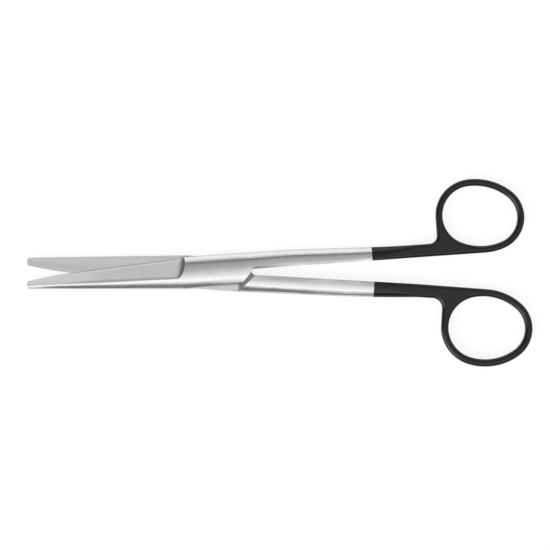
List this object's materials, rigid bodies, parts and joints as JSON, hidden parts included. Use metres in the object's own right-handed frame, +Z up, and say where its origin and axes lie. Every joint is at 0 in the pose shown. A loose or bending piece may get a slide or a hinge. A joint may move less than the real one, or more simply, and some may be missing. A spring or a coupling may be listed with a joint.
{
  "type": "dissecting scissors",
  "caption": "Straight dissecting scissors with slender ground blades, flush pivot and oval finger rings, steel with black-coated handles.",
  "frame": {"origin": "pivot axis at the lower half's outer face, which the scissors lie on", "axes": "+X from the pivot towards the finger rings, midway between the two halves; +Y towards the upper half's ring; +Z up, from the lower half to the upper half"},
  "size_m": [0.1692, 0.0629, 0.0048],
  "materials": {
    "lower_steel": "satin steel, matte inner face, smooth black coating on the handle's end and ring",
    "upper_steel": "satin steel, matte ground blade face, smooth black coating on the handle's end and ring",
    "screw_steel": "polished"
  },
  "bodies": {
    "lower": {"lower_half": "lower_steel"},
    "upper": {"upper_half": "upper_steel", "pivot_screw": "screw_steel"}
  },
  "joints": [
    {"name": "pivot", "type": "hinge", "parent": "lower", "child": "upper", "pos_m": [0, 0, 0], "axis": [0, 0, 1], "range_deg": [-7, 108]}
  ]
}
